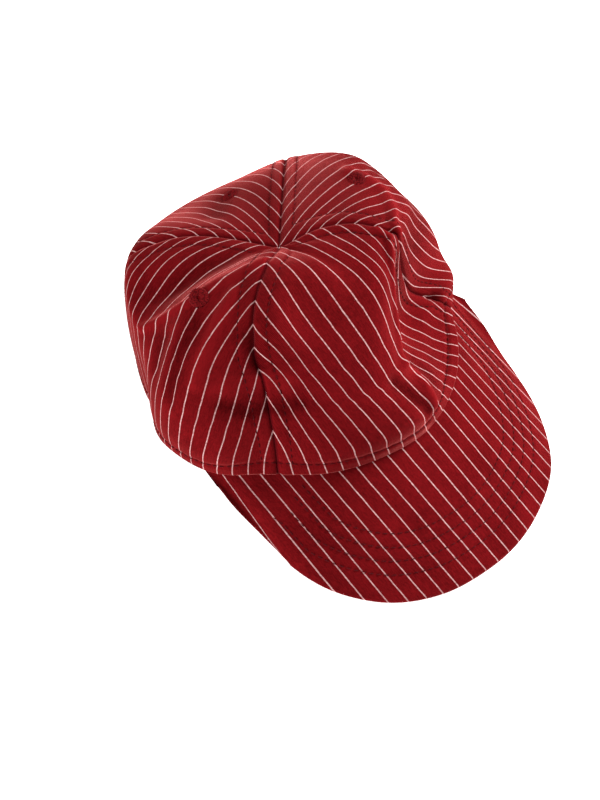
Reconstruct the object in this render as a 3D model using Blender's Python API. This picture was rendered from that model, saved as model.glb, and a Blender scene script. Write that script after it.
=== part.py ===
"""A soft cloth cap with a four-panel crown and a curved peak.

Units are metres, +Z is up and the peak points along -Y. The origin lies on the
surface that the cap stands on, under the middle of its bounding box.
"""

import math
from collections import namedtuple

import bmesh
import bpy
import numpy as np
from mathutils import Matrix, Vector

# Driving dimensions
CROWN_RADIUS = 0.092          # plan radius that the sections' outward shares follow
CROWN_HEIGHT = 0.080          # height that the sections' upward shares follow
CROWN_CENTRE = (-0.0048, 0.0258)  # plan place of the point where the four seams meet
CENTRE_DIP = 0.072            # height of that point, which has sunk between the folds
HEM_LIFT = 0.025              # height of the hem over the middle of the peak
CLOTH_THICKNESS = 0.0018
SEAM_GAP = 0.0003             # clearance between neighbouring panels
TIP_CLEARANCE = 0.0004        # distance of each panel's tip from the crown's centre
PEAK_GAP = 0.0003             # clearance between the hem and the peak under it
PEAK_THICKNESS = 0.0030
PEAK_HALF_WIDTH = 0.082       # distance to the side that the peak's edge follows
PEAK_FORWARD = 0.1496         # distance from the crown's centre to the peak's tip
EYELET_RADIUS = 0.0048
EYELET_HOLE = 0.0013
EYELET_THICKNESS = 0.0010
EYELET_GAP = 0.0003

PANEL_COLUMNS = 20
PANEL_ROWS = 24
PEAK_COLUMNS = 40
PEAK_ROWS = 6
SHARP_ANGLE = math.radians(70)    # edges bent more than this are shaded as edges
MERGE_DISTANCE = 1e-5
SLOPE_STEP = 1e-4             # step of the numerical slopes across a panel
HEM_LEVEL = 0.08              # share of the way up over which the wall's cut turns level
TIP_UPRIGHT = 0.10            # share of the way down over which the tips' cut is upright
PEAK_STEADY = 0.75            # place along the peak beyond which its normal stays the same
TIP_SLOPE = 0.02              # share of the way down above which slopes are not taken

# A section is the crown's profile at one azimuth, counted from the front towards +X.
# "out" is a share of CROWN_RADIUS and "up" a share of CROWN_HEIGHT, except hem_up,
# which is a share of HEM_LIFT.
Section = namedtuple("Section", "azimuth hem_out hem_up foot_out foot_up wall_out wall_up "
                                "brow_out brow_up shoulder_out shoulder_up crest_out crest_up")
SECTIONS = [
    Section(-180, 1.07, 0.00, 1.05, 0.35, 0.91, 0.60, 0.74, 0.73, 0.56, 0.82, 0.25, 0.90),
    Section(-145, 0.89, 0.00, 0.88, 0.34, 0.83, 0.61, 0.75, 0.78, 0.57, 0.86, 0.24, 0.90),
    Section(-128, 0.83, 0.00, 0.82, 0.34, 0.79, 0.60, 0.75, 0.74, 0.59, 0.82, 0.26, 0.90),
    Section(-112, 0.80, 0.00, 0.79, 0.32, 0.77, 0.56, 0.735, 0.66, 0.58, 0.75, 0.27, 0.89),
    Section(-101, 0.80, 0.10, 0.79, 0.32, 0.77, 0.56, 0.71, 0.67, 0.57, 0.79, 0.26, 0.91),
    Section(-90, 0.83, 0.27, 0.82, 0.33, 0.785, 0.57, 0.69, 0.75, 0.56, 0.86, 0.25, 0.95),
    Section(-75, 0.90, 0.60, 0.92, 0.37, 0.88, 0.54, 0.79, 0.68, 0.62, 0.82, 0.26, 0.98),
    Section(-60, 0.98, 0.80, 0.96, 0.42, 0.88, 0.56, 0.74, 0.69, 0.57, 0.84, 0.25, 0.99),
    Section(-46, 0.96, 0.91, 0.89, 0.44, 0.80, 0.58, 0.66, 0.72, 0.56, 0.88, 0.24, 0.99),
    Section(-30, 0.99, 0.96, 0.95, 0.46, 0.85, 0.60, 0.71, 0.71, 0.54, 0.84, 0.25, 0.99),
    Section(-12, 1.01, 1.00, 0.99, 0.46, 0.87, 0.60, 0.74, 0.71, 0.56, 0.83, 0.26, 0.98),
    Section(0, 1.02, 1.00, 0.99, 0.46, 0.84, 0.59, 0.725, 0.71, 0.58, 0.84, 0.26, 0.97),
    Section(10, 1.01, 1.00, 0.94, 0.44, 0.76, 0.55, 0.68, 0.71, 0.57, 0.87, 0.24, 0.95),
    Section(20, 0.995, 1.00, 0.86, 0.40, 0.67, 0.50, 0.61, 0.77, 0.54, 0.90, 0.22, 0.95),
    Section(38, 0.97, 1.00, 0.79, 0.37, 0.62, 0.48, 0.57, 0.86, 0.49, 0.93, 0.20, 0.95),
    Section(53, 0.97, 0.97, 0.85, 0.41, 0.71, 0.52, 0.61, 0.88, 0.50, 0.94, 0.21, 0.94),
    Section(63, 0.985, 0.87, 0.98, 0.42, 0.84, 0.55, 0.66, 0.88, 0.52, 0.95, 0.22, 0.945),
    Section(74, 0.985, 0.66, 1.00, 0.41, 0.965, 0.58, 0.775, 0.88, 0.56, 0.96, 0.24, 0.95),
    Section(90, 0.95, 0.12, 1.00, 0.36, 0.99, 0.61, 0.85, 0.88, 0.66, 0.98, 0.28, 0.96),
    Section(108, 0.95, 0.00, 0.98, 0.34, 0.96, 0.66, 0.88, 0.92, 0.70, 1.00, 0.30, 0.97),
    Section(135, 1.02, 0.00, 1.02, 0.32, 0.97, 0.61, 0.88, 0.82, 0.70, 0.94, 0.32, 0.95),
    Section(157, 1.07, 0.00, 1.04, 0.35, 0.94, 0.62, 0.78, 0.78, 0.61, 0.86, 0.27, 0.91),
]
# Shares of the way from the hem to the centre at which the sections' points lie
PROFILE_STOPS = np.array([0.0, 0.15, 0.30, 0.44, 0.58, 0.80, 1.0])

# A seam's azimuth at each stop, a share of the way down from the centre to the hem
SEAM_STOPS = np.array([0.0, 0.15, 0.28, 0.40, 0.50, 0.60, 0.75, 1.0])
SEAM_AZIMUTHS = {
    "front_left": [-48, -54, -57, -55, -52, -48, -45, -43],
    "front_right": [75, 75, 68, 59, 54, 50, 53, 54],
    "back_right": [135, 135, 135, 135, 135, 135, 135, 135],
    "back_left": [-148, -150, -149, -145, -141, -140, -141, -142],
}
Panel = namedtuple("Panel", "name seam next_seam")
PANELS = [
    Panel("front_panel", "front_left", "front_right"),
    Panel("right_panel", "front_right", "back_right"),
    Panel("back_panel", "back_right", "back_left"),
    Panel("left_panel", "back_left", "front_left"),
]

# A fold is a soft ridge (positive height) or groove (negative height) along a line of
# azimuths in degrees and "downs", shares of the way from the centre to the hem. Its
# half_width is a share of the way down too, and its height is in metres.
FOLD_FADE = 0.10              # share of the way up from the hem over which folds grow
Fold = namedtuple("Fold", "azimuths downs half_width height")
FOLDS = [
    Fold([-62, -73, -80, -86, -93, -101], [0.10, 0.18, 0.30, 0.44, 0.55, 0.64], 0.050, 0.0012),
    Fold([-110, -100, -101, -107, -113], [0.16, 0.30, 0.44, 0.56, 0.66], 0.070, -0.0008),
    Fold([-70, -74, -73], [0.30, 0.46, 0.62], 0.060, 0.0010),
    Fold([-100, -93], [0.62, 0.74], 0.070, -0.0014),
    Fold([-66, -56, -47, -40], [0.68, 0.66, 0.67, 0.70], 0.050, -0.0022),
    Fold([56, 40, 15, 5], [0.40, 0.50, 0.56, 0.66], 0.050, 0.0010),
    Fold([50, 25, 11], [0.60, 0.62, 0.72], 0.060, -0.0012),
    Fold([-3, 0, 2], [0.66, 0.77, 0.87], 0.060, -0.0012),
    Fold([5, 8, 5], [0.68, 0.75, 0.87], 0.050, 0.0014),
    Fold([54, 54], [0.82, 0.85], 0.060, -0.0014),
]

# A ruling is a straight line down the peak, from the hem at an azimuth in degrees to the
# outer edge. "along" runs from -1 to 1 round the edge. From the crown's centre,
# edge_across is a share of PEAK_HALF_WIDTH and edge_forward of PEAK_FORWARD; edge_up is
# a share of HEM_LIFT.
Ruling = namedtuple("Ruling", "along azimuth edge_across edge_forward edge_up")
RULINGS = [
    Ruling(-1.00, -65.5, -0.965, 0.320, 0.58),
    Ruling(-0.92, -63.5, -0.970, 0.382, 0.47),
    Ruling(-0.82, -61.5, -0.950, 0.482, 0.22),
    Ruling(-0.71, -59.3, -0.928, 0.577, 0.02),
    Ruling(-0.54, -54.6, -0.868, 0.742, 0.00),
    Ruling(-0.40, -42.8, -0.722, 0.859, 0.00),
    Ruling(-0.25, -27.0, -0.496, 0.944, 0.00),
    Ruling(-0.11, -12.8, -0.248, 0.985, 0.00),
    Ruling(0.03, 1.4, 0.001, 0.998, 0.00),
    Ruling(0.17, 15.3, 0.258, 0.978, 0.00),
    Ruling(0.31, 29.3, 0.505, 0.928, 0.00),
    Ruling(0.47, 44.6, 0.725, 0.824, 0.00),
    Ruling(0.65, 56.0, 0.914, 0.666, 0.00),
    Ruling(0.78, 60.0, 0.993, 0.549, 0.12),
    Ruling(0.89, 62.5, 1.040, 0.440, 0.41),
    Ruling(1.00, 64.5, 1.062, 0.335, 0.67),
]

# Eyelets, one in the middle of each panel but the front one
Eyelet = namedtuple("Eyelet", "name panel across down")
EYELETS = [
    Eyelet("right_eyelet", "right_panel", -0.08, 0.37),
    Eyelet("back_eyelet", "back_panel", -0.26, 0.42),
    Eyelet("left_eyelet", "left_panel", 0.31, 0.37),
]


def hermite(knots, values, places):
    """Smooth curve through values at rising knots, read at places (last axis of values)."""
    gaps = np.diff(knots)
    rises = np.diff(values, axis=-1) / gaps
    inner = (rises[..., 1:] * gaps[:-1] + rises[..., :-1] * gaps[1:]) / (gaps[1:] + gaps[:-1])
    slopes = np.concatenate([rises[..., :1], inner, rises[..., -1:]], axis=-1)
    span = np.clip(np.searchsorted(knots, places, side="right") - 1, 0, len(gaps) - 1)
    share = (places - knots[span]) / gaps[span]
    rows = np.arange(len(places))
    low, high = values[rows, span], values[rows, span + 1]
    slope_low, slope_high = slopes[rows, span] * gaps[span], slopes[rows, span + 1] * gaps[span]
    square, cube = share ** 2, share ** 3
    return ((2 * cube - 3 * square + 1) * low + (cube - 2 * square + share) * slope_low
            + (3 * square - 2 * cube) * high + (cube - square) * slope_high)


def hermite_at(knots, values, places):
    """Smooth curves through rows of values at rising knots, all read at the same places."""
    gaps = np.diff(knots)
    rises = np.diff(values, axis=-1) / gaps
    inner = (rises[..., 1:] * gaps[:-1] + rises[..., :-1] * gaps[1:]) / (gaps[1:] + gaps[:-1])
    slopes = np.concatenate([rises[..., :1], inner, rises[..., -1:]], axis=-1)
    span = np.clip(np.searchsorted(knots, places, side="right") - 1, 0, len(gaps) - 1)
    share = (places - knots[span]) / gaps[span]
    square, cube = share ** 2, share ** 3
    return ((2 * cube - 3 * square + 1) * values[..., span]
            + (cube - 2 * square + share) * slopes[..., span] * gaps[span]
            + (3 * square - 2 * cube) * values[..., span + 1]
            + (cube - square) * slopes[..., span + 1] * gaps[span])


def section_columns():
    """Azimuths in radians over three turns, and the sections' lengths in metres."""
    lengths = []
    for section in sorted(SECTIONS):
        out = np.array(section[1::2]) * CROWN_RADIUS
        up = np.array(section[2::2]) * CROWN_HEIGHT
        up[0] = section.hem_up * HEM_LIFT
        lengths.append(np.concatenate([out, [0.0], up, [CENTRE_DIP]]))
    turn = np.radians([section.azimuth for section in sorted(SECTIONS)])
    azimuths = np.concatenate([turn - 2 * math.pi, turn, turn + 2 * math.pi])
    return azimuths, np.tile(np.array(lengths), (3, 1))


SECTION_AZIMUTHS, SECTION_LENGTHS = section_columns()


def chain_distance(places, chain):
    """Shortest distance from each place to a chain of points."""
    begin = chain[:-1]
    step = chain[1:] - begin
    part = places[:, None, :] - begin[None]
    share = np.clip((part * step).sum(-1) / (step * step).sum(-1), 0, 1)
    return np.linalg.norm(part - share[..., None] * step, axis=-1).min(axis=1)


def flat_place(azimuth, down):
    """Places on the crown spread out as a disc."""
    return np.stack([down * np.sin(azimuth), down * np.cos(azimuth)], axis=-1)


def fold_height(azimuth, down):
    """Height of all the folds above the plain crown at each place."""
    places = flat_place(azimuth, down)
    height = np.zeros_like(down)
    for fold in FOLDS:
        chain = flat_place(np.radians(fold.azimuths), np.array(fold.downs))
        height += fold.height * np.exp(-(chain_distance(places, chain) / fold.half_width) ** 2)
    return height * np.clip((1 - down) / FOLD_FADE, 0, 1)


def plain_crown(azimuth, down):
    """Points of the crown's outer face without its folds."""
    columns = hermite_at(SECTION_AZIMUTHS, SECTION_LENGTHS.T, azimuth)
    half = len(columns) // 2
    rise = 1.0 - down
    out = hermite(PROFILE_STOPS, columns[:half].T, rise)
    columns[half] = np.maximum(columns[half], 0.0)
    up = hermite(PROFILE_STOPS, columns[half:].T, rise)
    x = CROWN_CENTRE[0] + out * np.sin(azimuth)
    y = CROWN_CENTRE[1] - out * np.cos(azimuth)
    return np.stack([x, y, up], axis=-1)


def normals_of(surface, azimuth, down):
    """Outward unit normals of a surface given as a function of azimuth and down."""
    low = np.clip(down, TIP_SLOPE, 1 - SLOPE_STEP)
    around = surface(azimuth + SLOPE_STEP, low) - surface(azimuth - SLOPE_STEP, low)
    along = surface(azimuth, low + SLOPE_STEP) - surface(azimuth, low - SLOPE_STEP)
    normal = np.cross(along, around)
    return normal / np.linalg.norm(normal, axis=-1, keepdims=True)


def crown(azimuth, down):
    """Points of the crown's outer face with its folds."""
    height = fold_height(azimuth, down)[:, None]
    return plain_crown(azimuth, down) + height * normals_of(plain_crown, azimuth, down)


def seam_azimuth(seam, down):
    """Azimuth of a seam in radians at each share of the way down."""
    return hermite_at(SEAM_STOPS, np.radians(SEAM_AZIMUTHS[seam]), down)


def panel_azimuth(panel, across, down):
    """Azimuth at across, from -1 at the panel's first seam to 1 at its second."""
    first = seam_azimuth(panel.seam, down)
    second = seam_azimuth(panel.next_seam, down)
    second = np.where(second < first, second + 2 * math.pi, second)
    return first + (across + 1) / 2 * (second - first)


def panel_points(panel, across, down, depth=0.0):
    """Points of one panel at a depth under its outer face.

    The depth turns level along the hem, and upright where the panels' tips meet.
    """
    azimuth = panel_azimuth(panel, across, down)
    normal = normals_of(crown, azimuth, down)
    normal[:, 2] *= np.clip((1 - down) / HEM_LEVEL, 0, 1)
    upright = np.clip(1 - down / TIP_UPRIGHT, 0, 1)[:, None]
    normal = normal * (1 - upright) + np.array([0.0, 0.0, 1.0]) * upright
    normal /= np.linalg.norm(normal, axis=-1, keepdims=True)
    return crown(azimuth, down) - depth * normal


def seam_share(panel, side, down):
    """Share of a panel's half width that the clearance at its seam takes."""
    edge = np.full_like(down, side)
    low = np.clip(down, TIP_SLOPE, 1.0)
    across = (panel_points(panel, edge, low) - panel_points(panel, edge - side * SLOPE_STEP, low))
    along = (panel_points(panel, edge, np.clip(low + SLOPE_STEP, 0, 1))
             - panel_points(panel, edge, low - SLOPE_STEP))
    along /= np.linalg.norm(along, axis=-1, keepdims=True)
    square_on = np.linalg.norm(across - (across * along).sum(-1, keepdims=True) * along, axis=-1)
    return np.clip(0.5 * SEAM_GAP / (square_on / SLOPE_STEP), 0, 0.5)


def new_object(name, mesh, material):
    """Turn a bmesh into a smooth-shaded object with one material."""
    bmesh.ops.recalc_face_normals(mesh, faces=mesh.faces[:])
    data = bpy.data.meshes.new(name)
    mesh.to_mesh(data)
    mesh.free()
    data.materials.append(material)
    data.shade_smooth()
    data.set_sharp_from_angle(angle=SHARP_ANGLE)
    thing = bpy.data.objects.new(name, data)
    bpy.context.collection.objects.link(thing)
    return thing


def shell_from_grid(columns, rows, place):
    """Closed shell from a flat grid: place(x, y, layer) gives each point, layer 0 is outer."""
    mesh = bmesh.new()
    bmesh.ops.create_grid(mesh, x_segments=columns, y_segments=rows, size=1.0)
    outer = mesh.verts[:]
    raised = bmesh.ops.extrude_face_region(mesh, geom=mesh.faces[:], use_keep_orig=True)
    inner = [item for item in raised["geom"] if isinstance(item, bmesh.types.BMVert)]
    for layer, verts in enumerate((outer, inner)):
        x = np.array([vert.co.x for vert in verts])
        y = np.array([vert.co.y for vert in verts])
        for vert, point in zip(verts, place(x, y, layer)):
            vert.co = point
    return mesh


def make_panel(panel, material):
    """One of the crown's four cloth panels, drawn in at its tip."""
    tip = TIP_CLEARANCE / CROWN_RADIUS

    def place(x, y, layer):
        x = np.where(y < -0.999, 0.0, x)
        down = tip + (y + 1) / 2 * (1 - tip)
        free = 1 - np.where(x > 0, seam_share(panel, 1.0, down), seam_share(panel, -1.0, down))
        return panel_points(panel, x * free, down, layer * CLOTH_THICKNESS)

    mesh = shell_from_grid(PANEL_COLUMNS, PANEL_ROWS, place)
    bmesh.ops.remove_doubles(mesh, verts=mesh.verts[:], dist=MERGE_DISTANCE)
    return new_object(panel.name, mesh, material)


def ruling_ends(along):
    """Ends of the peak's ruling lines on its under side, at the hem and at the outer edge."""
    table = np.array(RULINGS).T
    sizes = np.array([math.radians(1.0), PEAK_HALF_WIDTH, -PEAK_FORWARD, HEM_LIFT])
    azimuth, x, y, z = hermite_at(table[0], table[1:] * sizes[:, None], along)
    start = plain_crown(azimuth, np.ones_like(azimuth))
    inward = np.stack([-np.sin(azimuth), np.cos(azimuth), np.zeros_like(azimuth)], axis=-1)
    start += inward * CLOTH_THICKNESS
    start[:, 2] -= PEAK_GAP
    return start, np.stack([x + CROWN_CENTRE[0], y + CROWN_CENTRE[1], np.maximum(z, 0)], axis=-1)


def make_peak(material):
    """The stiff peak: a bent sheet made up of straight ruling lines."""
    def place(x, y, layer):
        steady = np.clip(x, -PEAK_STEADY, PEAK_STEADY)
        start, end = ruling_ends(steady)
        ahead = sum(ruling_ends(steady + SLOPE_STEP)) - sum(ruling_ends(steady - SLOPE_STEP))
        normal = np.cross(end + [0.0, 0.0, PEAK_THICKNESS] - start, ahead)
        normal /= np.linalg.norm(normal, axis=-1, keepdims=True)
        start, end = ruling_ends(x)
        upper_end = end + normal * PEAK_THICKNESS
        share = (y[:, None] + 1) / 2
        return start + (upper_end - start) * share - normal * PEAK_THICKNESS * layer

    mesh = shell_from_grid(PEAK_COLUMNS, PEAK_ROWS, place)
    return new_object("peak", mesh, material)


def make_eyelet(eyelet, material):
    """A stitched ring lying on its panel."""
    panel = next(item for item in PANELS if item.name == eyelet.panel)
    across = np.array([eyelet.across])
    down = np.array([eyelet.down])
    centre = panel_points(panel, across, down)[0]
    normal = normals_of(crown, panel_azimuth(panel, across, down), down)[0]
    ring = (EYELET_RADIUS - EYELET_HOLE) / 2
    sag = EYELET_RADIUS ** 2 / CROWN_RADIUS
    lift = EYELET_THICKNESS / 2 + EYELET_GAP + sag
    place = Matrix.Translation(Vector(centre + normal * lift))
    place @= Vector(normal).to_track_quat("Z", "Y").to_matrix().to_4x4()
    bpy.ops.mesh.primitive_torus_add(major_segments=16, minor_segments=6,
                                     major_radius=EYELET_HOLE + ring, minor_radius=ring)
    thing = bpy.context.object
    thing.name = eyelet.name
    thing.data.transform(Matrix.Diagonal((1, 1, EYELET_THICKNESS / (2 * ring), 1)))
    thing.data.shade_smooth()
    thing.matrix_world = place
    thing.data.materials.append(material)
    return thing


def cloth_material(name, colour):
    """Matt woven cotton."""
    material = bpy.data.materials.new(name)
    material.use_nodes = True
    shader = material.node_tree.nodes["Principled BSDF"]
    shader.inputs["Base Color"].default_value = (*colour, 1.0)
    shader.inputs["Roughness"].default_value = 0.85
    shader.inputs["Metallic"].default_value = 0.0
    return material


def main():
    for thing in list(bpy.data.objects):
        bpy.data.objects.remove(thing, do_unlink=True)
    cloth = cloth_material("striped_cloth", (0.36, 0.025, 0.035))
    thread = cloth_material("eyelet_thread", (0.28, 0.015, 0.025))
    for panel in PANELS:
        make_panel(panel, cloth)
    make_peak(cloth)
    for eyelet in EYELETS:
        make_eyelet(eyelet, thread)


main()
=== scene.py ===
import math
from collections import namedtuple

import bmesh
import bpy
import numpy as np
from mathutils import Matrix, Vector


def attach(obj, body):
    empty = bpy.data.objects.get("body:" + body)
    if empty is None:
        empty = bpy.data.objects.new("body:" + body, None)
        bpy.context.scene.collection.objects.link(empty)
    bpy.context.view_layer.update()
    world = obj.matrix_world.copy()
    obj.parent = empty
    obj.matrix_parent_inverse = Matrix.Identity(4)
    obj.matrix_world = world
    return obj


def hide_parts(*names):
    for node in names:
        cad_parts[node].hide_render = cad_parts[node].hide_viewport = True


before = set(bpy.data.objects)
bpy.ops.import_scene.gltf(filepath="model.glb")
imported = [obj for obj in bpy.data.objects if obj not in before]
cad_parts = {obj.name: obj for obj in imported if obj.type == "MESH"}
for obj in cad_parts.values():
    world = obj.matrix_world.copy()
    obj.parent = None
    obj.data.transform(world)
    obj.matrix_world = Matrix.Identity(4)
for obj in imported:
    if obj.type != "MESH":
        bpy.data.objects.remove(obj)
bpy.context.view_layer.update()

# Driving dimensions, in metres
CROWN_RADIUS = 0.092
CROWN_HEIGHT = 0.080
CROWN_CENTRE = (-0.0048, 0.0258)
CENTRE_DIP = 0.072
HEM_LIFT = 0.025
CLOTH_THICKNESS = 0.0018
SEAM_GAP = 0.00002            # the seams are all but shut, so that no light comes through
TIP_CLEARANCE = 0.0004
PEAK_GAP = 0.0003
PEAK_THICKNESS = 0.0030
PEAK_HALF_WIDTH = 0.082
PEAK_FORWARD = 0.1496

STRIPE_PITCH = 0.00707
STRIPE_WIDTH = 0.00052
STRIPES_PER_HALF_PANEL = 10.25
HEM_STRIPES = 0.65            # stripes more at the hem
GORE_SHARE = 0.90             # share of a panel's length that narrows towards its tip
TWILL_PITCH = 0.00062
TWILL_SLOPE = 1.6

SEAM_STITCH = 0.0064          # distance of the topstitching from its seam
HEM_STITCH = 0.0060           # distance of the topstitching from the hem
STITCH_LENGTH = 0.0022
STITCH_SPACING = 0.0031
THREAD_RADIUS = 0.00017

# Sewn details: depths, heights and widths
SEAM_SINK = 0.0009
SEAM_SINK_WIDTH = 0.0011
ALLOWANCE_RISE = 0.00030
ALLOWANCE_EDGE = (-0.0006, 0.0012)
SEAM_STITCH_SINK = 0.00034
SEAM_STITCH_WIDTH = 0.0009
HEM_STITCH_SINK = 0.00055
HEM_STITCH_WIDTH = 0.0010
HEM_ROLL = 0.0008
HEM_ROLL_WIDTH = 0.0007
PUCKER = 0.00012
PEAK_STITCH_SINK = 0.00022
PEAK_STITCH_WIDTH = 0.0008
PEAK_ROLL_END = 0.12          # share of the rolled edge's half-thickness left at its end

# Grids, and how strongly their lines close up towards the edges
PANEL_COLUMNS = 120
PANEL_ROWS = 130
PANEL_EASE = (1.15, 1.25)
PEAK_COLUMNS = 180
PEAK_ROWS = 90
PEAK_EASE = (1.2, 1.40)
RUN_COLUMNS = 240             # grid on which the peak's stitch rows are found
RUN_ROWS = 120
EDGE_POINTS = 500
MERGE_DISTANCE = 1e-5
SLOPE_STEP = 1e-4
CHUNK = 2000                  # places worked on at a time

# Shares of the way down or along at which a shape's ends begin to change
HEM_LEVEL = 0.08
TIP_UPRIGHT = 0.10
TIP_SLOPE = 0.02
TIP_PLAIN = 0.03
HEM_SPREAD = 0.75
PEAK_STEADY = 0.75

# A section gives the crown's outer face at one azimuth, as pairs of a distance out, a share
# of CROWN_RADIUS, and a height, a share of CROWN_HEIGHT, or of HEM_LIFT at the hem.
Section = namedtuple("Section", "azimuth hem_out hem_up foot_out foot_up wall_out wall_up "
                                "brow_out brow_up shoulder_out shoulder_up crest_out crest_up")
SECTIONS = [
    Section(-180, 1.07, 0.00, 1.05, 0.35, 0.91, 0.60, 0.74, 0.73, 0.56, 0.82, 0.25, 0.90),
    Section(-145, 0.89, 0.00, 0.88, 0.34, 0.83, 0.61, 0.75, 0.78, 0.57, 0.86, 0.24, 0.90),
    Section(-128, 0.83, 0.00, 0.82, 0.34, 0.79, 0.60, 0.75, 0.74, 0.59, 0.82, 0.26, 0.90),
    Section(-112, 0.80, 0.00, 0.79, 0.32, 0.77, 0.56, 0.735, 0.66, 0.58, 0.75, 0.27, 0.89),
    Section(-101, 0.80, 0.10, 0.79, 0.32, 0.77, 0.56, 0.71, 0.67, 0.57, 0.79, 0.26, 0.91),
    Section(-90, 0.87, 0.27, 0.86, 0.33, 0.80, 0.57, 0.69, 0.75, 0.56, 0.86, 0.25, 0.95),
    Section(-75, 0.935, 0.60, 0.94, 0.37, 0.89, 0.54, 0.79, 0.68, 0.62, 0.82, 0.26, 0.98),
    Section(-60, 0.98, 0.80, 0.96, 0.42, 0.88, 0.56, 0.74, 0.69, 0.57, 0.84, 0.25, 0.99),
    Section(-46, 0.96, 0.91, 0.89, 0.44, 0.80, 0.58, 0.66, 0.72, 0.56, 0.88, 0.24, 0.99),
    Section(-30, 0.99, 0.96, 0.95, 0.46, 0.85, 0.60, 0.71, 0.71, 0.54, 0.84, 0.25, 0.99),
    Section(-12, 1.01, 1.00, 0.99, 0.46, 0.87, 0.60, 0.74, 0.71, 0.56, 0.83, 0.26, 0.98),
    Section(0, 1.02, 1.00, 0.99, 0.46, 0.84, 0.59, 0.725, 0.71, 0.58, 0.84, 0.26, 0.97),
    Section(10, 1.01, 1.00, 0.94, 0.44, 0.76, 0.55, 0.68, 0.71, 0.57, 0.87, 0.24, 0.95),
    Section(20, 0.995, 1.00, 0.86, 0.40, 0.67, 0.50, 0.61, 0.77, 0.54, 0.90, 0.22, 0.95),
    Section(38, 0.97, 1.00, 0.79, 0.37, 0.62, 0.48, 0.57, 0.86, 0.49, 0.93, 0.20, 0.95),
    Section(53, 0.97, 0.97, 0.85, 0.41, 0.71, 0.52, 0.61, 0.88, 0.50, 0.94, 0.21, 0.94),
    Section(63, 1.03, 0.87, 1.01, 0.42, 0.84, 0.55, 0.66, 0.88, 0.52, 0.95, 0.22, 0.945),
    Section(74, 1.02, 0.66, 1.03, 0.41, 0.98, 0.58, 0.775, 0.88, 0.56, 0.96, 0.24, 0.95),
    Section(90, 0.99, 0.12, 1.03, 0.36, 1.00, 0.61, 0.85, 0.88, 0.66, 0.98, 0.28, 0.96),
    Section(108, 0.95, 0.00, 0.98, 0.34, 0.96, 0.66, 0.88, 0.92, 0.70, 1.00, 0.30, 0.97),
    Section(135, 1.02, 0.00, 1.02, 0.32, 0.97, 0.61, 0.88, 0.82, 0.70, 0.94, 0.32, 0.95),
    Section(157, 1.07, 0.00, 1.04, 0.35, 0.94, 0.62, 0.78, 0.78, 0.61, 0.86, 0.27, 0.91),
]
PROFILE_STOPS = np.array([0.0, 0.15, 0.30, 0.44, 0.58, 0.80, 1.0])

SEAM_STOPS = np.array([0.0, 0.15, 0.28, 0.40, 0.50, 0.60, 0.75, 1.0])
SEAM_AZIMUTHS = {
    "front_left": [-48, -54, -57, -55, -52, -48, -45, -43],
    "front_right": [75, 75, 68, 59, 54, 50, 53, 54],
    "back_right": [135, 135, 135, 135, 135, 135, 135, 135],
    "back_left": [-148, -150, -149, -145, -141, -140, -141, -142],
}
Panel = namedtuple("Panel", "name seam next_seam")
PANELS = [
    Panel("front_panel", "front_left", "front_right"),
    Panel("right_panel", "front_right", "back_right"),
    Panel("back_panel", "back_right", "back_left"),
    Panel("left_panel", "back_left", "front_left"),
]

# A fold follows a line of azimuths and shares of the way down the crown. Its half-width
# is a share of the way down too, and its height is negative for a groove.
FOLD_FADE = 0.10
Fold = namedtuple("Fold", "azimuths downs half_width height")
FOLDS = [
    Fold([-61, -77, -86, -91, -99, -106], [0.18, 0.24, 0.30, 0.40, 0.48, 0.58], 0.026, 0.0018),
    Fold([-112, -112, -116, -122], [0.20, 0.34, 0.46, 0.56], 0.060, -0.0012),
    Fold([-72, -71, -70], [0.30, 0.44, 0.56], 0.022, 0.0016),
    Fold([-81, -80, -78], [0.42, 0.52, 0.66], 0.036, -0.0012),
    Fold([-92, -90], [0.58, 0.68], 0.045, -0.0016),
    Fold([-60, -56, -52, -47, -41, -35], [0.63, 0.65, 0.68, 0.68, 0.68, 0.65], 0.028, -0.0015),
    Fold([-62, -54, -48, -40], [0.56, 0.58, 0.59, 0.59], 0.036, 0.0014),
    Fold([-56, -50], [0.42, 0.54], 0.025, -0.0014),
    Fold([56, 50, 40, 27, 15, 8, 5], [0.40, 0.47, 0.50, 0.52, 0.56, 0.62, 0.66], 0.022, 0.0016),
    Fold([50, 38, 25, 16, 11], [0.60, 0.60, 0.62, 0.66, 0.72], 0.045, -0.0014),
    Fold([-4, 0, 2], [0.68, 0.78, 0.86], 0.032, -0.0018),
    Fold([5, 8, 5], [0.68, 0.75, 0.87], 0.026, 0.0022),
    Fold([16, 13], [0.76, 0.84], 0.040, -0.0012),
    Fold([54, 54], [0.82, 0.85], 0.030, -0.0020),
    Fold([102, 83, 70, 56], [0.38, 0.45, 0.48, 0.52], 0.022, 0.0018),
    Fold([98, 88, 76, 62], [0.52, 0.57, 0.60, 0.62], 0.045, -0.0018),
    Fold([-175, 170], [0.36, 0.42], 0.050, -0.0012),
]

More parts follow.
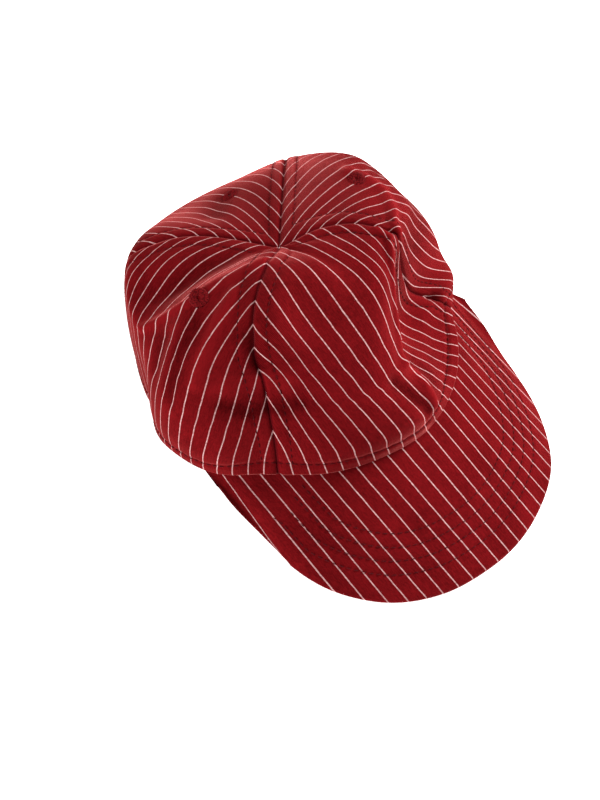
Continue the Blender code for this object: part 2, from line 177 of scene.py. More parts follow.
# A ruling is a straight line down the peak, from the hem at an azimuth to the outer edge.
# "along" runs from -1 to 1 round the edge. From the crown's centre, edge_across is a share
# of PEAK_HALF_WIDTH and edge_forward of PEAK_FORWARD; edge_up is a share of HEM_LIFT.
Ruling = namedtuple("Ruling", "along azimuth edge_across edge_forward edge_up stripe")
RULINGS = [
    Ruling(-1.00, -65.5, -0.965, 0.320, 0.58, 0.40),
    Ruling(-0.92, -63.5, -0.970, 0.382, 0.47, 0.45),
    Ruling(-0.82, -61.5, -0.950, 0.482, 0.22, 0.6),
    Ruling(-0.71, -59.3, -0.928, 0.577, 0.02, 1.0),
    Ruling(-0.54, -54.6, -0.868, 0.742, 0.00, 2.0),
    Ruling(-0.40, -42.8, -0.722, 0.859, 0.00, 4.0),
    Ruling(-0.25, -27.0, -0.496, 0.944, 0.00, 7.0),
    Ruling(-0.11, -12.8, -0.248, 0.985, 0.00, 10.0),
    Ruling(0.03, 1.4, 0.001, 0.998, 0.00, 13.0),
    Ruling(0.17, 15.3, 0.258, 0.978, 0.00, 16.0),
    Ruling(0.31, 29.3, 0.505, 0.928, 0.00, 19.0),
    Ruling(0.47, 44.6, 0.725, 0.824, 0.00, 22.0),
    Ruling(0.65, 56.0, 0.914, 0.666, 0.00, 24.0),
    Ruling(0.78, 60.0, 0.993, 0.549, 0.12, 24.6),
    Ruling(0.89, 62.5, 1.040, 0.440, 0.41, 25.0),
    Ruling(1.00, 64.5, 1.062, 0.335, 0.67, 25.4),
]

Eyelet = namedtuple("Eyelet", "name panel across down")
EYELETS = [
    Eyelet("right_eyelet", "right_panel", -0.08, 0.37),
    Eyelet("back_eyelet", "back_panel", -0.26, 0.42),
    Eyelet("left_eyelet", "left_panel", 0.31, 0.37),
]
EYELET_RADIUS = 0.0043
EYELET_HOLE = 0.0008
EYELET_LIFT = 0.00034
EYELET_STAND = 0.0004         # height of an eyelet's middle above the cloth
EYELET_RIDGE = 0.00016
EYELET_SCALLOP = 0.03
EYELET_THREADS = 30
POINTS_PER_THREAD = 6
Ring = namedtuple("Ring", "share height")
EYELET_RINGS = [
    Ring(0.00, -0.90),
    Ring(0.02, 0.00),
    Ring(0.18, 0.75),
    Ring(0.50, 1.00),
    Ring(0.85, 0.70),
    Ring(1.00, -0.90),
]

# One stitch: shares of its length, of its thickness, and its height in thread radii
STITCH_SIDES = 6
StitchRing = namedtuple("StitchRing", "share thick lift")
STITCH_RINGS = [
    StitchRing(0.00, 0.25, -1.60),
    StitchRing(0.12, 0.85, 0.00),
    StitchRing(0.50, 1.00, 0.75),
    StitchRing(0.88, 0.85, 0.00),
    StitchRing(1.00, 0.25, -1.60),
]
SEAM_RUN = (0.10, 0.955)      # shares of the way down between which the seams are topstitched
SEAM_RUN_POINTS = 160
HEM_RUN = 0.995               # share of each panel's width that the hem's stitches cover
HEM_RUN_POINTS = 200
HEM_SAMPLE = 0.03             # share of the way down over which the hem's slope is taken

# Distances of the peak's stitch rows from its outer edge
PEAK_STITCH_ROWS = [0.0108, 0.0162, 0.0216, 0.0272]


# The crown's surface

def slopes_and_spans(knots, values, places):
    """Gaps between knots, slopes at them, and the span and the share of it of each place."""
    gaps = np.diff(knots)
    rises = np.diff(values, axis=-1) / gaps
    inner = (rises[..., 1:] * gaps[:-1] + rises[..., :-1] * gaps[1:]) / (gaps[1:] + gaps[:-1])
    slopes = np.concatenate([rises[..., :1], inner, rises[..., -1:]], axis=-1)
    span = np.clip(np.searchsorted(knots, places, side="right") - 1, 0, len(gaps) - 1)
    return gaps, slopes, span, (places - knots[span]) / gaps[span]


def hermite(knots, values, places):
    """Smooth curves through rows of values at rising knots, each row read at its own place."""
    gaps, slopes, span, share = slopes_and_spans(knots, values, places)
    rows = np.arange(len(places))
    low, high = values[rows, span], values[rows, span + 1]
    slope_low, slope_high = slopes[rows, span] * gaps[span], slopes[rows, span + 1] * gaps[span]
    square, cube = share ** 2, share ** 3
    return ((2 * cube - 3 * square + 1) * low + (cube - 2 * square + share) * slope_low
            + (3 * square - 2 * cube) * high + (cube - square) * slope_high)


def hermite_at(knots, values, places):
    """Smooth curves through rows of values at rising knots, all read at the same places."""
    gaps, slopes, span, share = slopes_and_spans(knots, values, places)
    square, cube = share ** 2, share ** 3
    return ((2 * cube - 3 * square + 1) * values[..., span]
            + (cube - 2 * square + share) * slopes[..., span] * gaps[span]
            + (3 * square - 2 * cube) * values[..., span + 1]
            + (cube - square) * slopes[..., span + 1] * gaps[span])


def section_columns():
    """Azimuths in radians over three turns, and the sections' lengths in metres."""
    lengths = []
    for section in sorted(SECTIONS):
        out = np.array(section[1::2]) * CROWN_RADIUS
        up = np.array(section[2::2]) * CROWN_HEIGHT
        up[0] = section.hem_up * HEM_LIFT
        lengths.append(np.concatenate([out, [0.0], up, [CENTRE_DIP]]))
    turn = np.radians([section.azimuth for section in sorted(SECTIONS)])
    azimuths = np.concatenate([turn - 2 * math.pi, turn, turn + 2 * math.pi])
    return azimuths, np.tile(np.array(lengths), (3, 1))


SECTION_AZIMUTHS, SECTION_LENGTHS = section_columns()


def chain_distance(places, chain):
    """Shortest distance from each place to a chain of points."""
    begin = chain[:-1]
    step = chain[1:] - begin
    nearest = np.full(len(places), np.inf)
    for low in range(0, len(places), CHUNK):
        part = places[low:low + CHUNK, None, :] - begin[None]
        share = np.clip((part * step).sum(-1) / np.maximum((step * step).sum(-1), 1e-16), 0, 1)
        away = np.linalg.norm(part - share[..., None] * step, axis=-1)
        nearest[low:low + CHUNK] = away.min(axis=1)
    return nearest


def flat_place(azimuth, down):
    """Places on the crown spread out as a disc."""
    return np.stack([down * np.sin(azimuth), down * np.cos(azimuth)], axis=-1)


def fold_height(azimuth, down):
    """Height of all the folds above the plain crown at each place."""
    places = flat_place(azimuth, down)
    height = np.zeros_like(down)
    for fold in FOLDS:
        chain = flat_place(np.radians(fold.azimuths), np.array(fold.downs))
        height += fold.height * np.exp(-(chain_distance(places, chain) / fold.half_width) ** 2)
    return height * np.clip((1 - down) / FOLD_FADE, 0, 1)


def plain_crown(azimuth, down):
    """Points of the crown's outer face without its folds."""
    columns = hermite_at(SECTION_AZIMUTHS, SECTION_LENGTHS.T, azimuth)
    half = len(columns) // 2
    rise = 1.0 - down
    out = hermite(PROFILE_STOPS, columns[:half].T, rise)
    columns[half] = np.maximum(columns[half], 0.0)
    up = hermite(PROFILE_STOPS, columns[half:].T, rise)
    x = CROWN_CENTRE[0] + out * np.sin(azimuth)
    y = CROWN_CENTRE[1] - out * np.cos(azimuth)
    return np.stack([x, y, up], axis=-1)


def normals_of(surface, azimuth, down):
    """Outward unit normals of a surface given as a function of azimuth and down."""
    low = np.clip(down, TIP_SLOPE, 1 - SLOPE_STEP)
    around = surface(azimuth + SLOPE_STEP, low) - surface(azimuth - SLOPE_STEP, low)
    along = surface(azimuth, low + SLOPE_STEP) - surface(azimuth, low - SLOPE_STEP)
    normal = np.cross(along, around)
    return normal / np.linalg.norm(normal, axis=-1, keepdims=True)


def crown(azimuth, down):
    """Points of the crown's outer face with its folds."""
    height = fold_height(azimuth, down)[:, None]
    return plain_crown(azimuth, down) + height * normals_of(plain_crown, azimuth, down)


def seam_azimuth(seam, down):
    """Azimuth of a seam in radians at each share of the way down."""
    return hermite_at(SEAM_STOPS, np.radians(SEAM_AZIMUTHS[seam]), down)


def panel_azimuth(panel, across, down):
    """Azimuth at across, from -1 at the panel's first seam to 1 at its second."""
    first = seam_azimuth(panel.seam, down)
    second = seam_azimuth(panel.next_seam, down)
    second = np.where(second < first, second + 2 * math.pi, second)
    return first + (across + 1) / 2 * (second - first)


def panel_frame(panel, across, down):
    """Points and outward normals of one panel's plain outer face."""
    azimuth = panel_azimuth(panel, across, down)
    return crown(azimuth, down), normals_of(crown, azimuth, down)


def panel_points(panel, across, down, depth=0.0):
    """Points of one panel at a depth under its outer face.

    The depth turns level along the hem, and upright where the panels' tips meet.
    """
    points, normal = panel_frame(panel, across, down)
    normal[:, 2] *= np.clip((1 - down) / HEM_LEVEL, 0, 1)
    upright = np.clip(1 - down / TIP_UPRIGHT, 0, 1)[:, None]
    normal = normal * (1 - upright) + np.array([0.0, 0.0, 1.0]) * upright
    normal /= np.linalg.norm(normal, axis=-1, keepdims=True)
    return points - np.asarray(depth).reshape(-1, 1) * normal


def half_width(panel, side, down):
    """Width across a panel, square to its seam, for one unit of across at that seam."""
    edge = np.full_like(down, side)
    low = np.clip(down, TIP_SLOPE, 1.0)
    across = panel_points(panel, edge, low) - panel_points(panel, edge - side * SLOPE_STEP, low)
    along = (panel_points(panel, edge, np.clip(low + SLOPE_STEP, 0, 1))
             - panel_points(panel, edge, low - SLOPE_STEP))
    along /= np.linalg.norm(along, axis=-1, keepdims=True)
    square_on = across - (across * along).sum(-1, keepdims=True) * along
    return np.linalg.norm(square_on, axis=-1) / SLOPE_STEP


def bell(distance, middle, width):
    """One at the middle, falling smoothly to nothing about two widths away."""
    return np.exp(-((distance - middle) / width) ** 2)


def ramp(value, low, high):
    """Zero below low and one above high, with soft ends."""
    share = np.clip((value - low) / (high - low), 0, 1)
    return share * share * (3 - 2 * share)


# Meshes

def sheet_object(name, places, values, columns, rows, material):
    """Closed sheet from two grids of points, outer and inner, with values kept on its points."""
    across = columns + 1
    count = across * (rows + 1)
    number = np.arange(count).reshape(rows + 1, across)
    low, high = number[:-1], number[1:]
    outer = np.stack([low[:, :-1], low[:, 1:], high[:, 1:], high[:, :-1]], axis=-1).reshape(-1, 4)
    inner = outer[:, ::-1] + count
    rim = np.concatenate([number[0, ::-1], number[1:, 0], number[-1, 1:], number[-2:0:-1, -1]])
    following = np.roll(rim, -1)
    walls = np.stack([rim, following, following + count, rim + count], axis=-1)
    faces = np.concatenate([outer, inner, walls])
    data = bpy.data.meshes.new(name)
    data.from_pydata(places.tolist(), [], faces.tolist())
    for key, value in values.items():
        attribute = data.attributes.new(key, "FLOAT", "POINT")
        attribute.data.foreach_set("value", np.ascontiguousarray(value, dtype=np.float32))
    mesh = bmesh.new()
    mesh.from_mesh(data)
    bmesh.ops.remove_doubles(mesh, verts=mesh.verts[:], dist=MERGE_DISTANCE)
    bmesh.ops.recalc_face_normals(mesh, faces=mesh.faces[:])
    mesh.to_mesh(data)
    mesh.free()
    return placed(name, data, material)


def placed(name, data, material):
    """A smooth-shaded object that rides with the cap."""
    data.materials.append(material)
    data.shade_smooth()
    thing = bpy.data.objects.new(name, data)
    bpy.context.scene.collection.objects.link(thing)
    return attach(thing, "root")


def grid(columns, rows, ease):
    """Grid places in -1..1 across and 0..1 down, closer together towards the edges."""
    column_ease, row_ease = ease
    line = np.linspace(-1, 1, columns + 1)
    x = np.sin(line * column_ease) / math.sin(column_ease)
    line = np.linspace(0, 1, rows + 1)
    y = np.sin(line * row_ease) / math.sin(row_ease)
    x, y = np.meshgrid(x, y)
    return x.ravel(), y.ravel()


def panel_relief(seam, hem, along, stripe):
    """Height of the sewn details above a plain panel."""
    low, high = ALLOWANCE_EDGE
    puckers = PUCKER * np.sin(stripe * 3.1) * np.sin(stripe * 7.7 + along / STITCH_SPACING)
    height = -SEAM_SINK * bell(seam, 0.0, SEAM_SINK_WIDTH)
    height += ALLOWANCE_RISE * (1 - ramp(seam, SEAM_STITCH + low, SEAM_STITCH + high))
    height -= (SEAM_STITCH_SINK + puckers) * bell(seam, SEAM_STITCH, SEAM_STITCH_WIDTH)
    height += ALLOWANCE_RISE * (1 - ramp(hem, HEM_STITCH + low, HEM_STITCH + high))
    height -= (HEM_STITCH_SINK + 2 * puckers) * bell(hem, HEM_STITCH, HEM_STITCH_WIDTH)
    height -= HEM_ROLL * bell(hem, 0.0, HEM_ROLL_WIDTH)
    return height


def share_across(table):
    """Share of each row's length, from -1 to 1, at which each point of a panel's grid lies."""
    steps = np.linalg.norm(np.diff(table, axis=1), axis=-1)
    length = np.concatenate([np.zeros((len(table), 1)), np.cumsum(steps, axis=1)], axis=1)
    return 2 * length / np.maximum(length[:, -1:], MERGE_DISTANCE) - 1


def crown_panel(panel, material):
    """One crown panel with its stripes' places, seams and hem kept on its points."""
    x, y = grid(PANEL_COLUMNS, PANEL_ROWS, PANEL_EASE)
    tip = TIP_CLEARANCE / CROWN_RADIUS
    down = tip + y * (1 - tip)
    x = np.where(y < 1e-6, 0.0, x)
    rows = down[::PANEL_COLUMNS + 1]
    widths = [np.repeat(half_width(panel, side, rows), PANEL_COLUMNS + 1) for side in (1.0, -1.0)]
    width = np.where(x > 0, *widths)
    free = 1 - np.clip(0.5 * SEAM_GAP / width, 0, 0.5)
    across = x * free
    outer = panel_points(panel, across, down)
    table = outer.reshape(PANEL_ROWS + 1, PANEL_COLUMNS + 1, 3)
    steps = np.linalg.norm(np.diff(table, axis=0), axis=-1)
    along = np.concatenate([np.zeros((1, PANEL_COLUMNS + 1)), np.cumsum(steps, axis=0)])
    hem = (along[-1] - along).ravel()
    along = along.ravel()
    seam = (1 - np.abs(x)) * width
    gore = np.clip(down / GORE_SHARE, 0, 1)
    quarter = math.pi / 4
    spread = np.arcsin(np.sin(gore * math.pi / 2) * math.sin(quarter)) / quarter
    stripes = STRIPES_PER_HALF_PANEL * spread + HEM_STRIPES * ramp(down, HEM_SPREAD, 1.0)
    stripe = stripes * share_across(table).ravel()
    relief = panel_relief(seam, hem, along, stripe) * ramp(down, 0.0, TIP_PLAIN)
    outer = panel_points(panel, across, down, -relief)
    inner = panel_points(panel, across, down, CLOTH_THICKNESS)
    # The folds' heights are kept on the points for the finish, which paints shade into the
    # grooves and a highlight onto the ridges.
    relief = fold_height(panel_azimuth(panel, across, down), down)
    values = {"stripe": stripe, "along": along, "relief": relief, "seam": seam, "hem": hem}
    values = {key: np.concatenate([value, value]) for key, value in values.items()}
    piece = sheet_object(panel.name + "_cloth", np.concatenate([outer, inner]), values,
                         PANEL_COLUMNS, PANEL_ROWS, material)
    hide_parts(panel.name)
    return piece


# The peak

def ruling_columns():
    """Places along the peak's edge, and each ruling's azimuth, edge point and stripe."""
    table = np.array(RULINGS).T
    sizes = np.array([math.radians(1.0), PEAK_HALF_WIDTH, -PEAK_FORWARD, HEM_LIFT, 1.0])
    values = table[1:] * sizes[:, None]
    values[1:3] += np.array(CROWN_CENTRE)[:, None]
    return table[0], values


RULING_PLACES, RULING_VALUES = ruling_columns()


def peak_line(x):
    """Upper and lower ends of the ruling lines at places x along the peak, and their normals."""
    def lines(place):
        azimuth, across, forward, up, _ = hermite_at(RULING_PLACES, RULING_VALUES, place)
        start = plain_crown(azimuth, np.ones_like(azimuth))
        start[:, 2] -= PEAK_GAP
        inward = np.stack([-np.sin(azimuth), np.cos(azimuth), np.zeros_like(azimuth)], -1)
        start += inward * CLOTH_THICKNESS
        return start, np.stack([across, forward, np.maximum(up, 0.0)], axis=-1)

    steady = np.clip(x, -PEAK_STEADY, PEAK_STEADY)
    start, end = lines(steady)
    ahead = sum(lines(steady + SLOPE_STEP)) - sum(lines(steady - SLOPE_STEP))
    normal = np.cross(end + [0.0, 0.0, PEAK_THICKNESS] - start, ahead)
    normal /= np.linalg.norm(normal, axis=-1, keepdims=True)
    start, end = lines(x)
    return start, end + normal * PEAK_THICKNESS, normal


def peak_places(x, y):
    """Points of the peak's upper face, at shares y of the way down its ruling lines."""
    start, end, normal = peak_line(x)
    return start + (end - start) * y[:, None], normal


def peak_edge():
    """The peak's outer edge as a chain of points."""
    _, end, _ = peak_line(np.linspace(-1, 1, EDGE_POINTS))
    return end


def peak_piece(material):
    """The peak: cloth over a stiff board, with a rolled edge and four rows of stitching."""
    x, y = grid(PEAK_COLUMNS, PEAK_ROWS, PEAK_EASE)
    places, normal = peak_places(x, y)
    edge = chain_distance(places, peak_edge())
    half = PEAK_THICKNESS / 2
    inset = np.clip(half - edge, 0, half)
    roll = half - np.sqrt(np.maximum(half ** 2 - inset ** 2, (PEAK_ROLL_END * half) ** 2))
    groove = sum(bell(edge, row, PEAK_STITCH_WIDTH) for row in PEAK_STITCH_ROWS)
    outer = places - normal * (roll + PEAK_STITCH_SINK * groove)[:, None]
    inner = places - normal * (PEAK_THICKNESS - roll)[:, None]
    start, end, _ = peak_line(x)
    forward = y * np.linalg.norm(end - start, axis=-1)
    values = {
        "stripe": hermite_at(RULING_PLACES, RULING_VALUES[4], x),
        "along": forward,
        "relief": np.zeros_like(edge),
        "seam": np.full_like(edge, 1.0),
        "hem": forward,
    }
    values = {key: np.concatenate([value, value]) for key, value in values.items()}
    piece = sheet_object("peak_cloth", np.concatenate([outer, inner]), values,
                         PEAK_COLUMNS, PEAK_ROWS, material)
    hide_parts("peak")
    return piece


# Thread

def thread_run(path, normals):
    """Points and faces of a row of separate stitches laid along a path of points."""
    steps = np.linalg.norm(np.diff(path, axis=0), axis=-1)
    length = np.concatenate([[0.0], np.cumsum(steps)])
    points = []
    faces = []
    sides = STITCH_SIDES
    rings, thick, lift = np.array(STITCH_RINGS).T
    turn = np.arange(sides) / sides * 2 * math.pi
    for begin in np.arange(0.0, length[-1] - STITCH_LENGTH, STITCH_SPACING):
        places = begin + rings * STITCH_LENGTH
        middle = np.stack([np.interp(places, length, path[:, axis]) for axis in range(3)], -1)
        upward = np.stack([np.interp(places, length, normals[:, axis]) for axis in range(3)], -1)
        upward /= np.linalg.norm(upward, axis=-1, keepdims=True)
        ahead = np.gradient(middle, axis=0)
        side = np.cross(ahead, upward)
        side /= np.linalg.norm(side, axis=-1, keepdims=True)
        middle = middle + upward * (lift * THREAD_RADIUS)[:, None]
        base = len(points) * sides * len(rings)
        ring = (np.cos(turn)[None, :, None] * side[:, None]
                + np.sin(turn)[None, :, None] * upward[:, None])
        points.append((middle[:, None] + ring * (thick * THREAD_RADIUS)[:, None, None]
                       ).reshape(-1, 3))
        for row in range(len(rings) - 1):
            for step in range(sides):
                one = base + row * sides + step
                two = base + row * sides + (step + 1) % sides
                faces.append((one, two, two + sides, one + sides))
        faces.append(tuple(base + step for step in reversed(range(sides))))
        last = base + (len(rings) - 1) * sides
        faces.append(tuple(last + step for step in range(sides)))
    return (np.concatenate(points) if points else np.zeros((0, 3))), faces


def stitching(name, runs, material):
    """One object from several rows of stitches."""
    points = []
    faces = []
    count = 0
    for path, normals in runs:
        places, corners = thread_run(path, normals)
        points.append(places)
        faces.extend([tuple(corner + count for corner in face) for face in corners])
        count += len(places)
    data = bpy.data.meshes.new(name)
    data.from_pydata(np.concatenate(points).tolist(), [], faces)
    piece = placed(name, data, material)
    return piece


def seam_runs():
    """The rows of stitches beside each seam, one on either side of it."""
    runs = []
    for panel in PANELS:
        for side in (-1.0, 1.0):
            down = np.linspace(*SEAM_RUN, SEAM_RUN_POINTS)
            share = SEAM_STITCH / half_width(panel, side, down)
            points, normals = panel_frame(panel, side * (1 - share), down)
            runs.append((points, normals))
    return runs


def hem_runs():
    """The row of stitches round the hem of each panel."""
    runs = []
    for panel in PANELS:
        across = np.linspace(-HEM_RUN, HEM_RUN, HEM_RUN_POINTS)
        low = panel_points(panel, across, np.ones_like(across))
        near = panel_points(panel, across, np.full_like(across, 1 - HEM_SAMPLE))
        rise = np.linalg.norm(low - near, axis=-1) / HEM_SAMPLE
        points, normals = panel_frame(panel, across, 1 - HEM_STITCH / rise)
        runs.append((points, normals))
    return runs


def peak_runs():
    """The rows of stitches that follow the peak's outer edge."""
    columns, rows = RUN_COLUMNS + 1, RUN_ROWS + 1
    x, y = grid(RUN_COLUMNS, RUN_ROWS, PEAK_EASE)
    places, normal = peak_places(x, y)
    edge = chain_distance(places, peak_edge()).reshape(rows, columns)
    places = places.reshape(rows, columns, 3)
    normal = normal.reshape(rows, columns, 3)
    runs = []
    for row in PEAK_STITCH_ROWS:
        path = []
        upward = []
        for column in range(columns):
            if edge[0, column] < row:
                continue
            share = np.interp(-row, -edge[:, column], np.arange(rows))
            path.append([np.interp(share, np.arange(rows), places[:, column, axis])
                         for axis in range(3)])
            upward.append(normal[0, column])
        runs.append((np.array(path), np.array(upward)))
    return runs


# Eyelets

def eyelet_piece(eyelet, material):
    """A ring of satin stitches round a small dark hole."""
    panel = next(item for item in PANELS if item.name == eyelet.panel)
    across = np.array([eyelet.across])
    down = np.array([eyelet.down])
    points, normals = panel_frame(panel, across, down)
    turns = EYELET_THREADS * POINTS_PER_THREAD
    turn = np.arange(turns) / turns * 2 * math.pi
    ridge = 0.5 + 0.5 * np.cos(turn * EYELET_THREADS)
    rings = []
    for share, height in EYELET_RINGS:
        radius = EYELET_HOLE + share * (EYELET_RADIUS - EYELET_HOLE)
        edge = 1 + EYELET_SCALLOP * share * np.cos(turn * EYELET_THREADS)
        lift = height * EYELET_LIFT + EYELET_RIDGE * ridge * max(height, 0)
        rings.append(np.stack([radius * edge * np.cos(turn), radius * edge * np.sin(turn),
                               lift - (radius ** 2) / (2 * CROWN_RADIUS)], axis=-1))
    places = np.concatenate(rings)
    faces = []
    for row in range(len(EYELET_RINGS)):
        following = (row + 1) % len(EYELET_RINGS)
        for step in range(turns):
            after = (step + 1) % turns
            faces.append((row * turns + step, following * turns + step,
                          following * turns + after, row * turns + after))
    data = bpy.data.meshes.new(eyelet.name)
    data.from_pydata(places.tolist(), [], faces)
    matrix = Matrix.Translation(Vector(points[0] + normals[0] * EYELET_STAND))
    matrix @= Vector(normals[0]).to_track_quat("Z", "Y").to_matrix().to_4x4()
    data.transform(matrix)
    mesh = bmesh.new()
    mesh.from_mesh(data)
    bmesh.ops.recalc_face_normals(mesh, faces=mesh.faces[:])
    mesh.to_mesh(data)
    mesh.free()
    piece = placed(eyelet.name + "_stitches", data, material)
    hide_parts(eyelet.name)
    return piece


# Finishes

class Value:
    """One output in a finish's node tree, which plain arithmetic can be done with."""

    def __init__(self, finish, socket):
        self.finish = finish
        self.socket = socket

    def maths(self, operation, *others):
        sockets = {place: value for place, value in enumerate((self, *others))}
        return self.finish.node("ShaderNodeMath", {"operation": operation}, sockets)

    def __add__(self, other):
        return self.maths("ADD", other)

    def __radd__(self, other):
        return self.maths("ADD", other)

    def __sub__(self, other):
        return self.maths("SUBTRACT", other)

    def __rsub__(self, other):
        return (self * -1.0) + other

    def __mul__(self, other):
        return self.maths("MULTIPLY", other)

    def __rmul__(self, other):
        return self.maths("MULTIPLY", other)

    def __truediv__(self, other):
        return self.maths("DIVIDE", other)

    def fraction(self):
        return self.maths("FRACT")

    def size(self):
        return self.maths("ABSOLUTE")

    def sine(self):
        return self.maths("SINE")

    def between(self, low, high):
        """Zero at low and one at high, with soft ends."""
        return self.finish.node("ShaderNodeMapRange", {"interpolation_type": "SMOOTHSTEP"},
                                {"Value": self, "From Min": low, "From Max": high})


class Finish:
    """A material whose shader is put together from expressions."""

    def __init__(self, name, **settings):
        self.material = bpy.data.materials.new(name)
        self.material.use_nodes = True
        self.tree = self.material.node_tree
        self.shader = self.tree.nodes["Principled BSDF"]
        for key, value in settings.items():
            self.shader.inputs[key.replace("_", " ")].default_value = value

    def node(self, kind, settings, sockets, output=0):
        """Add a node of a type, its settings first and then its sockets' values or links."""
        node = self.tree.nodes.new(kind)
        for key, value in settings.items():
            setattr(node, key, value)
        for key, value in sockets.items():
            if isinstance(value, Value):
                self.tree.links.new(value.socket, node.inputs[key])
            else:
                node.inputs[key].default_value = value
        return Value(self, node.outputs[output])

    def kept(self, name):
        """A value kept on the mesh's points."""
        return self.node("ShaderNodeAttribute", {"attribute_name": name}, {}, "Fac")

    def place(self, x, y, z=0.0):
        return self.node("ShaderNodeCombineXYZ", {}, {"X": x, "Y": y, "Z": z})

    def noise(self, place, scale, detail=2.0, roughness=0.5):
        return self.node("ShaderNodeTexNoise", {}, {"Vector": place, "Scale": scale,
                         "Detail": detail, "Roughness": roughness}, "Fac")

    def mix(self, share, first, second):
        """A colour between two others."""
        return self.node("ShaderNodeMix", {"data_type": "RGBA"},
                         {0: share, 6: first, 7: second}, 2)

    def bump(self, height, strength, distance):
        return self.node("ShaderNodeBump", {}, {"Height": height, "Strength": strength,
                                                "Distance": distance}, "Normal")

    def feed(self, name, value):
        self.tree.links.new(value.socket, self.shader.inputs[name])


def striped_twill():
    """Red cotton twill with thin pale woven stripes and a soft fuzz, with painted shade in its
    fold grooves and along its seams and hem, and a painted highlight on its fold ridges.
    """
    finish = Finish("striped_twill", Roughness=1.0, Sheen_Weight=0.42, Sheen_Roughness=0.32,
                    Sheen_Tint=(0.95, 0.19, 0.18, 1.0), Specular_IOR_Level=0.0)
    stripe, along = finish.kept("stripe"), finish.kept("along")
    seam, hem, relief = finish.kept("seam"), finish.kept("hem"), finish.kept("relief")
    across = stripe * STRIPE_PITCH
    cloth = finish.place(across, along)
    wobble = (finish.noise(cloth, 160.0, 1.0) - 0.5) * 0.05
    away = ((stripe + wobble + 0.5).fraction() - 0.5).size() * STRIPE_PITCH
    thread = 1.0 - away.between(STRIPE_WIDTH * 0.34, STRIPE_WIDTH * 0.66)
    twill = ((across + along * TWILL_SLOPE) * (2 * math.pi / TWILL_PITCH)).sine()
    fuzz = finish.noise(cloth, 900.0, 3.0, 0.6)
    patches = finish.noise(cloth, 45.0, 3.0, 0.55)
    # Painted shade in the fold grooves and a painted highlight on the fold ridges, read from the
    # folds' heights.
    fold_shade_and_highlight = relief.between(-0.0022, 0.0020)
    streaks = finish.noise(finish.place(across * 2.2, along * 0.45), 700.0, 2.0, 0.6)
    shade = patches * 0.30 + fuzz * 0.20 + streaks * 0.30 + twill * 0.09 + fold_shade_and_highlight * 0.25
    red = finish.mix(shade.between(0.20, 0.80), (0.020, 0.0005, 0.0008, 1.0),
                     (0.175, 0.0054, 0.0074, 1.0))
    # Painted shade: the cloth is darkened in the sunken grooves along the seams and the hem.
    seam_and_hem_shade = 1.0 - seam.between(0.0002, 0.0014) + (1.0 - hem.between(0.0001, 0.0010))
    red = finish.mix(seam_and_hem_shade.between(0.0, 1.6), red, (0.045, 0.0015, 0.003, 1.0))
    pale = finish.mix(fuzz.between(0.3, 0.7), (0.36, 0.17, 0.17, 1.0), (0.60, 0.37, 0.36, 1.0))
    # The pale stripes are made a little lighter on the fold ridges: a painted highlight.
    weave = thread * (0.80 + 0.15 * twill + 0.10 * fold_shade_and_highlight)
    finish.feed("Base Color", finish.mix(weave, red, pale))
    height = twill * 0.5 + fuzz * 0.9 + thread * 0.35
    finish.feed("Normal", finish.bump(height, 0.45, 0.00014))
    return finish.material


def dark_thread():
    """Dark polyester sewing thread."""
    finish = Finish("dark_sewing_thread", Roughness=0.9, Specular_IOR_Level=0.1)
    grain = finish.noise(finish.node("ShaderNodeTexCoord", {}, {}, "Object"), 2500.0)
    colour = finish.mix(grain.between(0.3, 0.7), (0.030, 0.001, 0.002, 1.0),
                        (0.075, 0.003, 0.005, 1.0))
    finish.feed("Base Color", colour)
    finish.feed("Normal", finish.bump(grain, 0.3, 0.0001))
    return finish.material


def eyelet_thread():
    """Red satin-stitched embroidery thread."""
    finish = Finish("red_embroidery_thread", Roughness=0.9, Specular_IOR_Level=0.05)
    grain = finish.noise(finish.node("ShaderNodeTexCoord", {}, {}, "Object"), 1800.0)
    colour = finish.mix(grain.between(0.3, 0.7), (0.040, 0.0011, 0.0018, 1.0),
                        (0.165, 0.0050, 0.0070, 1.0))
    finish.feed("Base Color", colour)
    finish.feed("Normal", finish.bump(grain, 0.3, 0.0001))
    return finish.material


def pale_floor():
    """Plain near-white paper that glows a little, so that shadows on it stay faint."""
    finish = Finish("pale_floor", Roughness=0.9, Emission_Strength=0.80,
                    Emission_Color=(1.0, 1.0, 1.0, 1.0))
    grain = finish.noise(finish.node("ShaderNodeTexCoord", {}, {}, "Object"), 30.0)
    finish.feed("Base Color", finish.mix(grain, (0.86, 0.86, 0.86, 1.0), (0.88, 0.88, 0.88, 1.0)))
    return finish.material


# Studio

CAMERA_FROM_CROWN = Vector((-0.1486, -0.1685, 0.2471))
CAMERA_AZIMUTH = math.radians(-44.0008)
CAMERA_ELEVATION = math.radians(51.804)
CAMERA_ROLL = math.radians(0.6507)
CAMERA_LENS = 27.9
SENSOR_WIDTH = 36.0
CAMERA_CLIP = 0.01
FLOOR_HALF = 6.0
ROOM_STRENGTH = 0.30
LIGHT_AIM = Vector((0.0, 0.0, 0.04))
Light = namedtuple("Light", "name azimuth elevation distance size power")
LIGHTS = [
    Light("key_light", 74, 26, 1.2, 0.6, 46.0),
    Light("fill_light", -98, 12, 1.4, 0.8, 32.0),
]


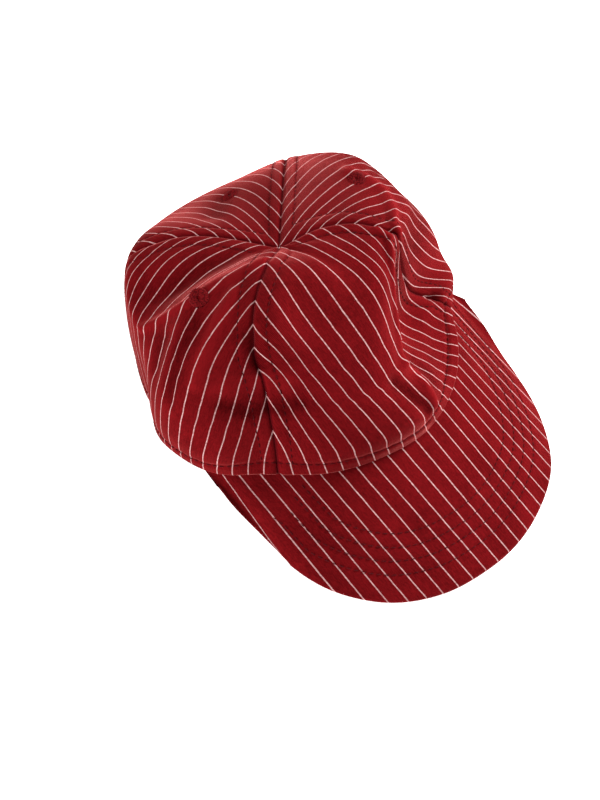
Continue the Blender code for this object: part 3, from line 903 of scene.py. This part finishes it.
def camera():
    """The camera at the photograph's place and angle."""
    turn, rise = CAMERA_AZIMUTH, CAMERA_ELEVATION
    back = Vector((math.sin(turn) * math.cos(rise), -math.cos(turn) * math.cos(rise),
                   math.sin(rise)))
    right = Vector((math.cos(turn), math.sin(turn), 0.0))
    up = back.cross(right)
    side = math.cos(CAMERA_ROLL) * right + math.sin(CAMERA_ROLL) * up
    top = -math.sin(CAMERA_ROLL) * right + math.cos(CAMERA_ROLL) * up
    data = bpy.data.cameras.new("camera")
    data.sensor_width = SENSOR_WIDTH
    data.lens = CAMERA_LENS
    data.clip_start = CAMERA_CLIP
    thing = bpy.data.objects.new("camera", data)
    bpy.context.scene.collection.objects.link(thing)
    matrix = Matrix((side, top, back)).transposed().to_4x4()
    place = Vector((*CROWN_CENTRE, 0.0)) + CAMERA_FROM_CROWN
    thing.matrix_world = Matrix.Translation(place) @ matrix
    bpy.context.scene.camera = thing


def soft_light(light):
    """A square soft light aimed at the middle of the cap."""
    data = bpy.data.lights.new(light.name, "AREA")
    data.size = light.size
    data.energy = light.power
    thing = bpy.data.objects.new(light.name, data)
    bpy.context.scene.collection.objects.link(thing)
    turn, rise = math.radians(light.azimuth), math.radians(light.elevation)
    away = Vector((math.sin(turn) * math.cos(rise), -math.cos(turn) * math.cos(rise),
                   math.sin(rise)))
    thing.location = away * light.distance + LIGHT_AIM
    thing.rotation_euler = away.to_track_quat("Z", "Y").to_euler()


def studio():
    """A pale floor, an even white room and soft lights."""
    data = bpy.data.meshes.new("floor")
    side = FLOOR_HALF
    data.from_pydata([(-side, -side, 0), (side, -side, 0), (side, side, 0), (-side, side, 0)],
                     [], [(0, 1, 2, 3)])
    data.materials.append(pale_floor())
    floor = bpy.data.objects.new("floor", data)
    bpy.context.scene.collection.objects.link(floor)
    world = bpy.data.worlds.new("studio")
    world.use_nodes = True
    world.node_tree.nodes["Background"].inputs["Color"].default_value = (1.0, 1.0, 1.0, 1.0)
    world.node_tree.nodes["Background"].inputs["Strength"].default_value = ROOM_STRENGTH
    bpy.context.scene.world = world
    for light in LIGHTS:
        soft_light(light)
    bpy.context.scene.view_settings.view_transform = "Standard"


cloth = striped_twill()
thread = dark_thread()
for panel in PANELS:
    crown_panel(panel, cloth)
peak_piece(cloth)
stitching("seam_stitching", seam_runs(), thread)
stitching("hem_stitching", hem_runs(), thread)
stitching("peak_stitching", peak_runs(), thread)
embroidery = eyelet_thread()
for eyelet in EYELETS:
    eyelet_piece(eyelet, embroidery)
camera()
studio()
